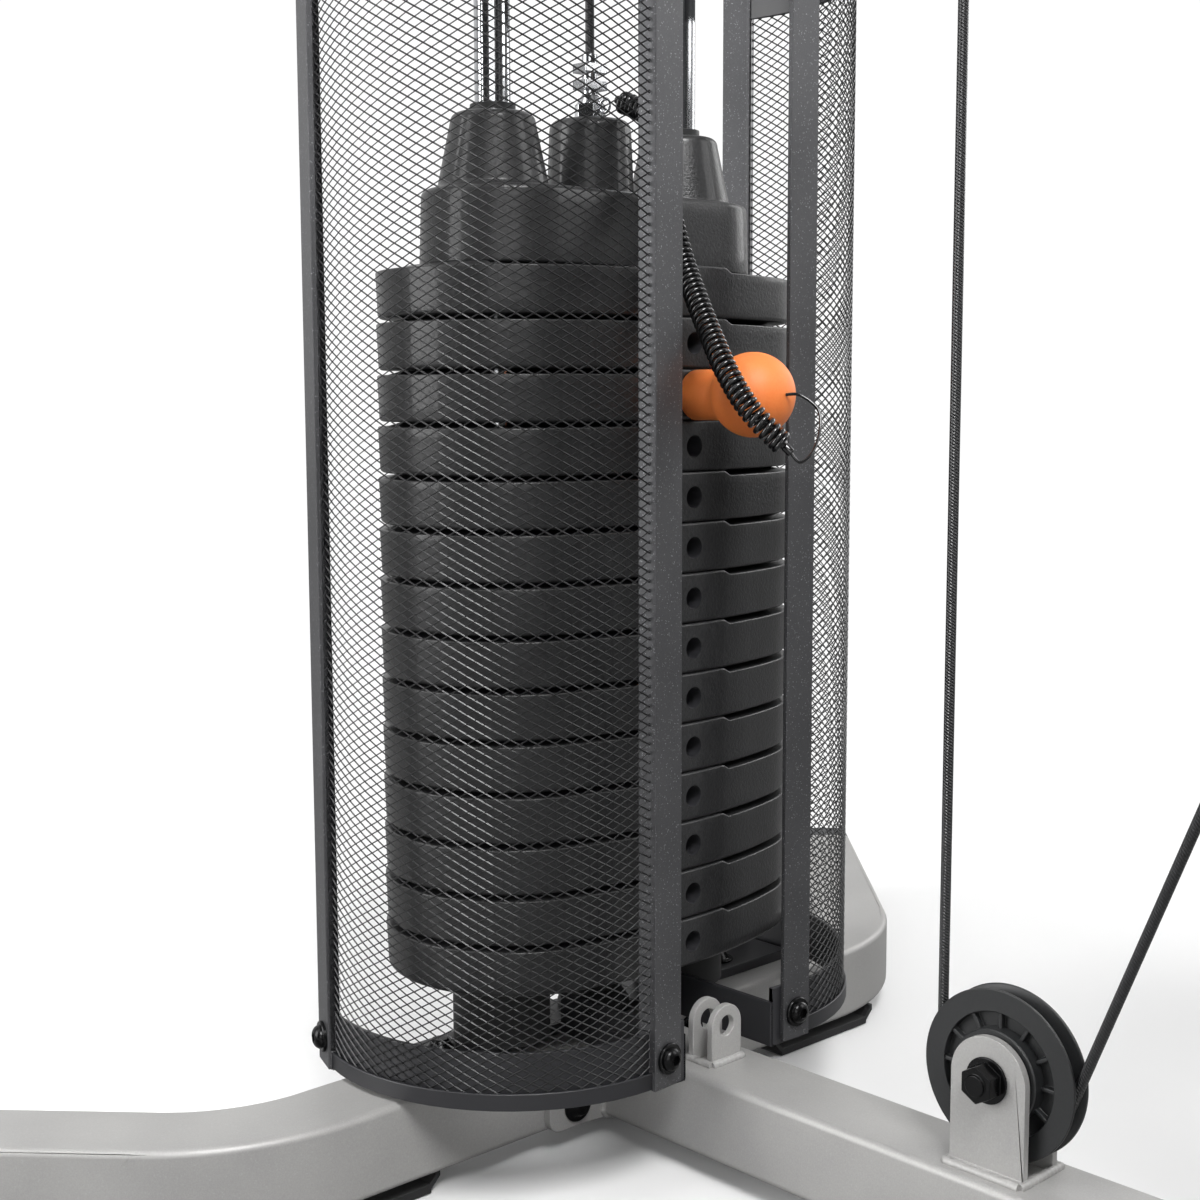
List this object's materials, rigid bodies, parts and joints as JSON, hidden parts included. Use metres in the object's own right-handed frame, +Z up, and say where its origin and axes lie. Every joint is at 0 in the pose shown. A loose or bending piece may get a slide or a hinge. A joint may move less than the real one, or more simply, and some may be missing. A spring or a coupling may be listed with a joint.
{
  "type": "multi gym",
  "caption": "Multi gym with a guarded weight stack, an overhead boom with a lat bar, a press arm, a padded seat and a leg lever",
  "frame": {"origin": "on the floor under the middle of the weight stack, on the lower face of the centre foot", "axes": "+Z up, -Y towards the seat and the leg lever, +Y towards the back of the stack tower, X across; the machine is symmetric about X = 0"},
  "size_m": [0.9024, 1.537, 2.0188],
  "materials": {
    "frame_silver": "semi_gloss powder coat, metallic silver",
    "black_coat": "satin black powder coat",
    "shroud_grey": "textured dark grey powder coat",
    "plate_iron": "hammered dark grey coat on cast iron",
    "chrome": "polished chrome",
    "zinc_steel": "bright steel",
    "black_rubber": "black rubber and foam",
    "black_plastic": "moulded black plastic",
    "white_plastic": "natural white plastic",
    "cable_black": "nylon-coated steel cable",
    "knob_orange": "orange plastic",
    "coil_black": "glossy coiled cord",
    "pad_vinyl": "black synthetic leather over foam"
  },
  "bodies": {
    "root": {"stabiliser": "frame_silver", "main_rail": "frame_silver", "front_foot": "frame_silver", "end_caps": "black_plastic", "floor_feet": "frame_silver", "frame_bolts": "black_coat", "base_bar": "black_coat", "buffers": "black_rubber", "guide_rods": "chrome", "rod_top_plate": "black_coat", "mast": "frame_silver", "mast_link_plates": "frame_silver", "top_boom": "frame_silver", "shroud_brackets": "black_coat", "shroud_top_carrier": "black_coat", "near_shroud_frame": "shroud_grey", "near_shroud_screen": "shroud_grey", "far_shroud_frame": "shroud_grey", "far_shroud_screen": "shroud_grey", "shroud_bolts": "black_coat", "resting_plates": "plate_iron", "boom_pulley_ears": "frame_silver", "low_pulley_clevis": "frame_silver", "anchor_clevis": "frame_silver", "pulley_axles": "black_coat", "top_cables": "cable_black", "press_cable": "cable_black", "pivot_stand": "frame_silver", "pivot_bushes": "white_plastic", "seat_frame": "frame_silver", "leg_pivot_bracket": "frame_silver", "seat_pad": "pad_vinyl", "back_pad": "pad_vinyl", "knee_rollers": "black_rubber", "stack_cable": "cable_black", "float_strands": "cable_black", "low_cable_rise": "cable_black", "lat_cable": "cable_black"},
    "lifted_stack": {"stack_head": "plate_iron", "head_bushes": "white_plastic", "selector_rod": "zinc_steel", "lifted_plates": "plate_iron", "cable_fitting": "chrome"},
    "stack_pin": {"selector_pin": "zinc_steel", "pin_knob": "knob_orange", "lanyard": "coil_black", "lanyard_ends": "coil_black"},
    "rear_top_wheel": {"rear_top_pulley": "black_plastic"},
    "middle_top_wheel": {"middle_top_pulley": "black_plastic"},
    "drop_top_wheel": {"drop_top_pulley": "black_plastic"},
    "front_top_wheel": {"front_top_pulley": "black_plastic"},
    "low_wheel": {"low_pulley": "black_plastic"},
    "float_hanger": {"float_block": "frame_silver"},
    "float_wheel": {"float_pulley": "black_plastic"},
    "press": {"press_arm": "frame_silver", "press_grips": "black_rubber"},
    "leg": {"leg_lever": "frame_silver", "ankle_rollers": "black_rubber"},
    "lat": {"lat_bar": "chrome", "lat_grips": "black_rubber"}
  },
  "joints": [
    {"name": "stack_lift", "type": "slide", "parent": "root", "child": "lifted_stack", "axis": [0, 0, 1], "range_m": [0, 0.6], "deforming": ["stack_cable"]},
    {"name": "pin_pull", "type": "slide", "parent": "lifted_stack", "child": "stack_pin", "axis": [0, -1, 0], "range_m": [0, 0.095]},
    {"name": "rear_top_turn", "type": "hinge", "parent": "root", "child": "rear_top_wheel", "pos_m": [0, -0.0352, 1.905], "axis": [1, 0, 0], "range_deg": [0, 977.63]},
    {"name": "middle_top_turn", "type": "hinge", "parent": "root", "child": "middle_top_wheel", "pos_m": [0, -0.176, 1.905], "axis": [1, 0, 0], "range_deg": [0, 977.63]},
    {"name": "drop_top_turn", "type": "hinge", "parent": "root", "child": "drop_top_wheel", "pos_m": [0, -0.3168, 1.905], "axis": [1, 0, 0], "range_deg": [0, 977.63]},
    {"name": "front_top_turn", "type": "hinge", "parent": "root", "child": "front_top_wheel", "pos_m": [0, -1.005, 1.905], "axis": [1, 0, 0], "range_deg": [0, 977.63]},
    {"name": "float_turn", "type": "hinge", "parent": "float_hanger", "child": "float_wheel", "pos_m": [0, -0.2464, 1.5], "axis": [1, 0, 0], "range_deg": [-977.63, 0]},
    {"name": "lat_pull", "type": "slide", "parent": "root", "child": "lat", "axis": [0, 0, -1], "range_m": [0, 0.6], "deforming": ["lat_cable"]},
    {"name": "press_push", "type": "hinge", "parent": "root", "child": "press", "pos_m": [0, -0.6127, 0.3], "axis": [1, 0, 0], "range_deg": [0, 28], "stiffness_Nm_per_rad": 60, "springref_deg": -85.94},
    {"name": "float_drop", "type": "slide", "parent": "root", "child": "float_hanger", "axis": [0, 0, -1], "range_m": [0, 0.09824], "deforming": ["float_strands", "low_cable_rise"]},
    {"name": "low_turn", "type": "hinge", "parent": "root", "child": "low_wheel", "pos_m": [0, -0.2816, 0.1021], "axis": [1, 0, 0], "range_deg": [0, 160.09]},
    {"name": "leg_swing", "type": "hinge", "parent": "root", "child": "leg", "pos_m": [0, -1.156, 0.42], "axis": [-1, 0, 0], "range_deg": [0, 80]}
  ],
  "couplings": [
    {"joint": "rear_top_turn", "follows": "stack_lift", "rad_per_m": 28.409},
    {"joint": "middle_top_turn", "follows": "stack_lift", "rad_per_m": 28.409},
    {"joint": "drop_top_turn", "follows": "stack_lift", "rad_per_m": 28.409},
    {"joint": "front_top_turn", "follows": "stack_lift", "rad_per_m": 28.409},
    {"joint": "float_turn", "follows": "stack_lift", "rad_per_m": -28.409},
    {"joint": "lat_pull", "follows": "stack_lift", "ratio": 1},
    {"joint": "float_drop", "follows": "press_push", "m_per_rad": 0.2},
    {"joint": "low_turn", "follows": "press_push", "ratio": 5.6818}
  ]
}
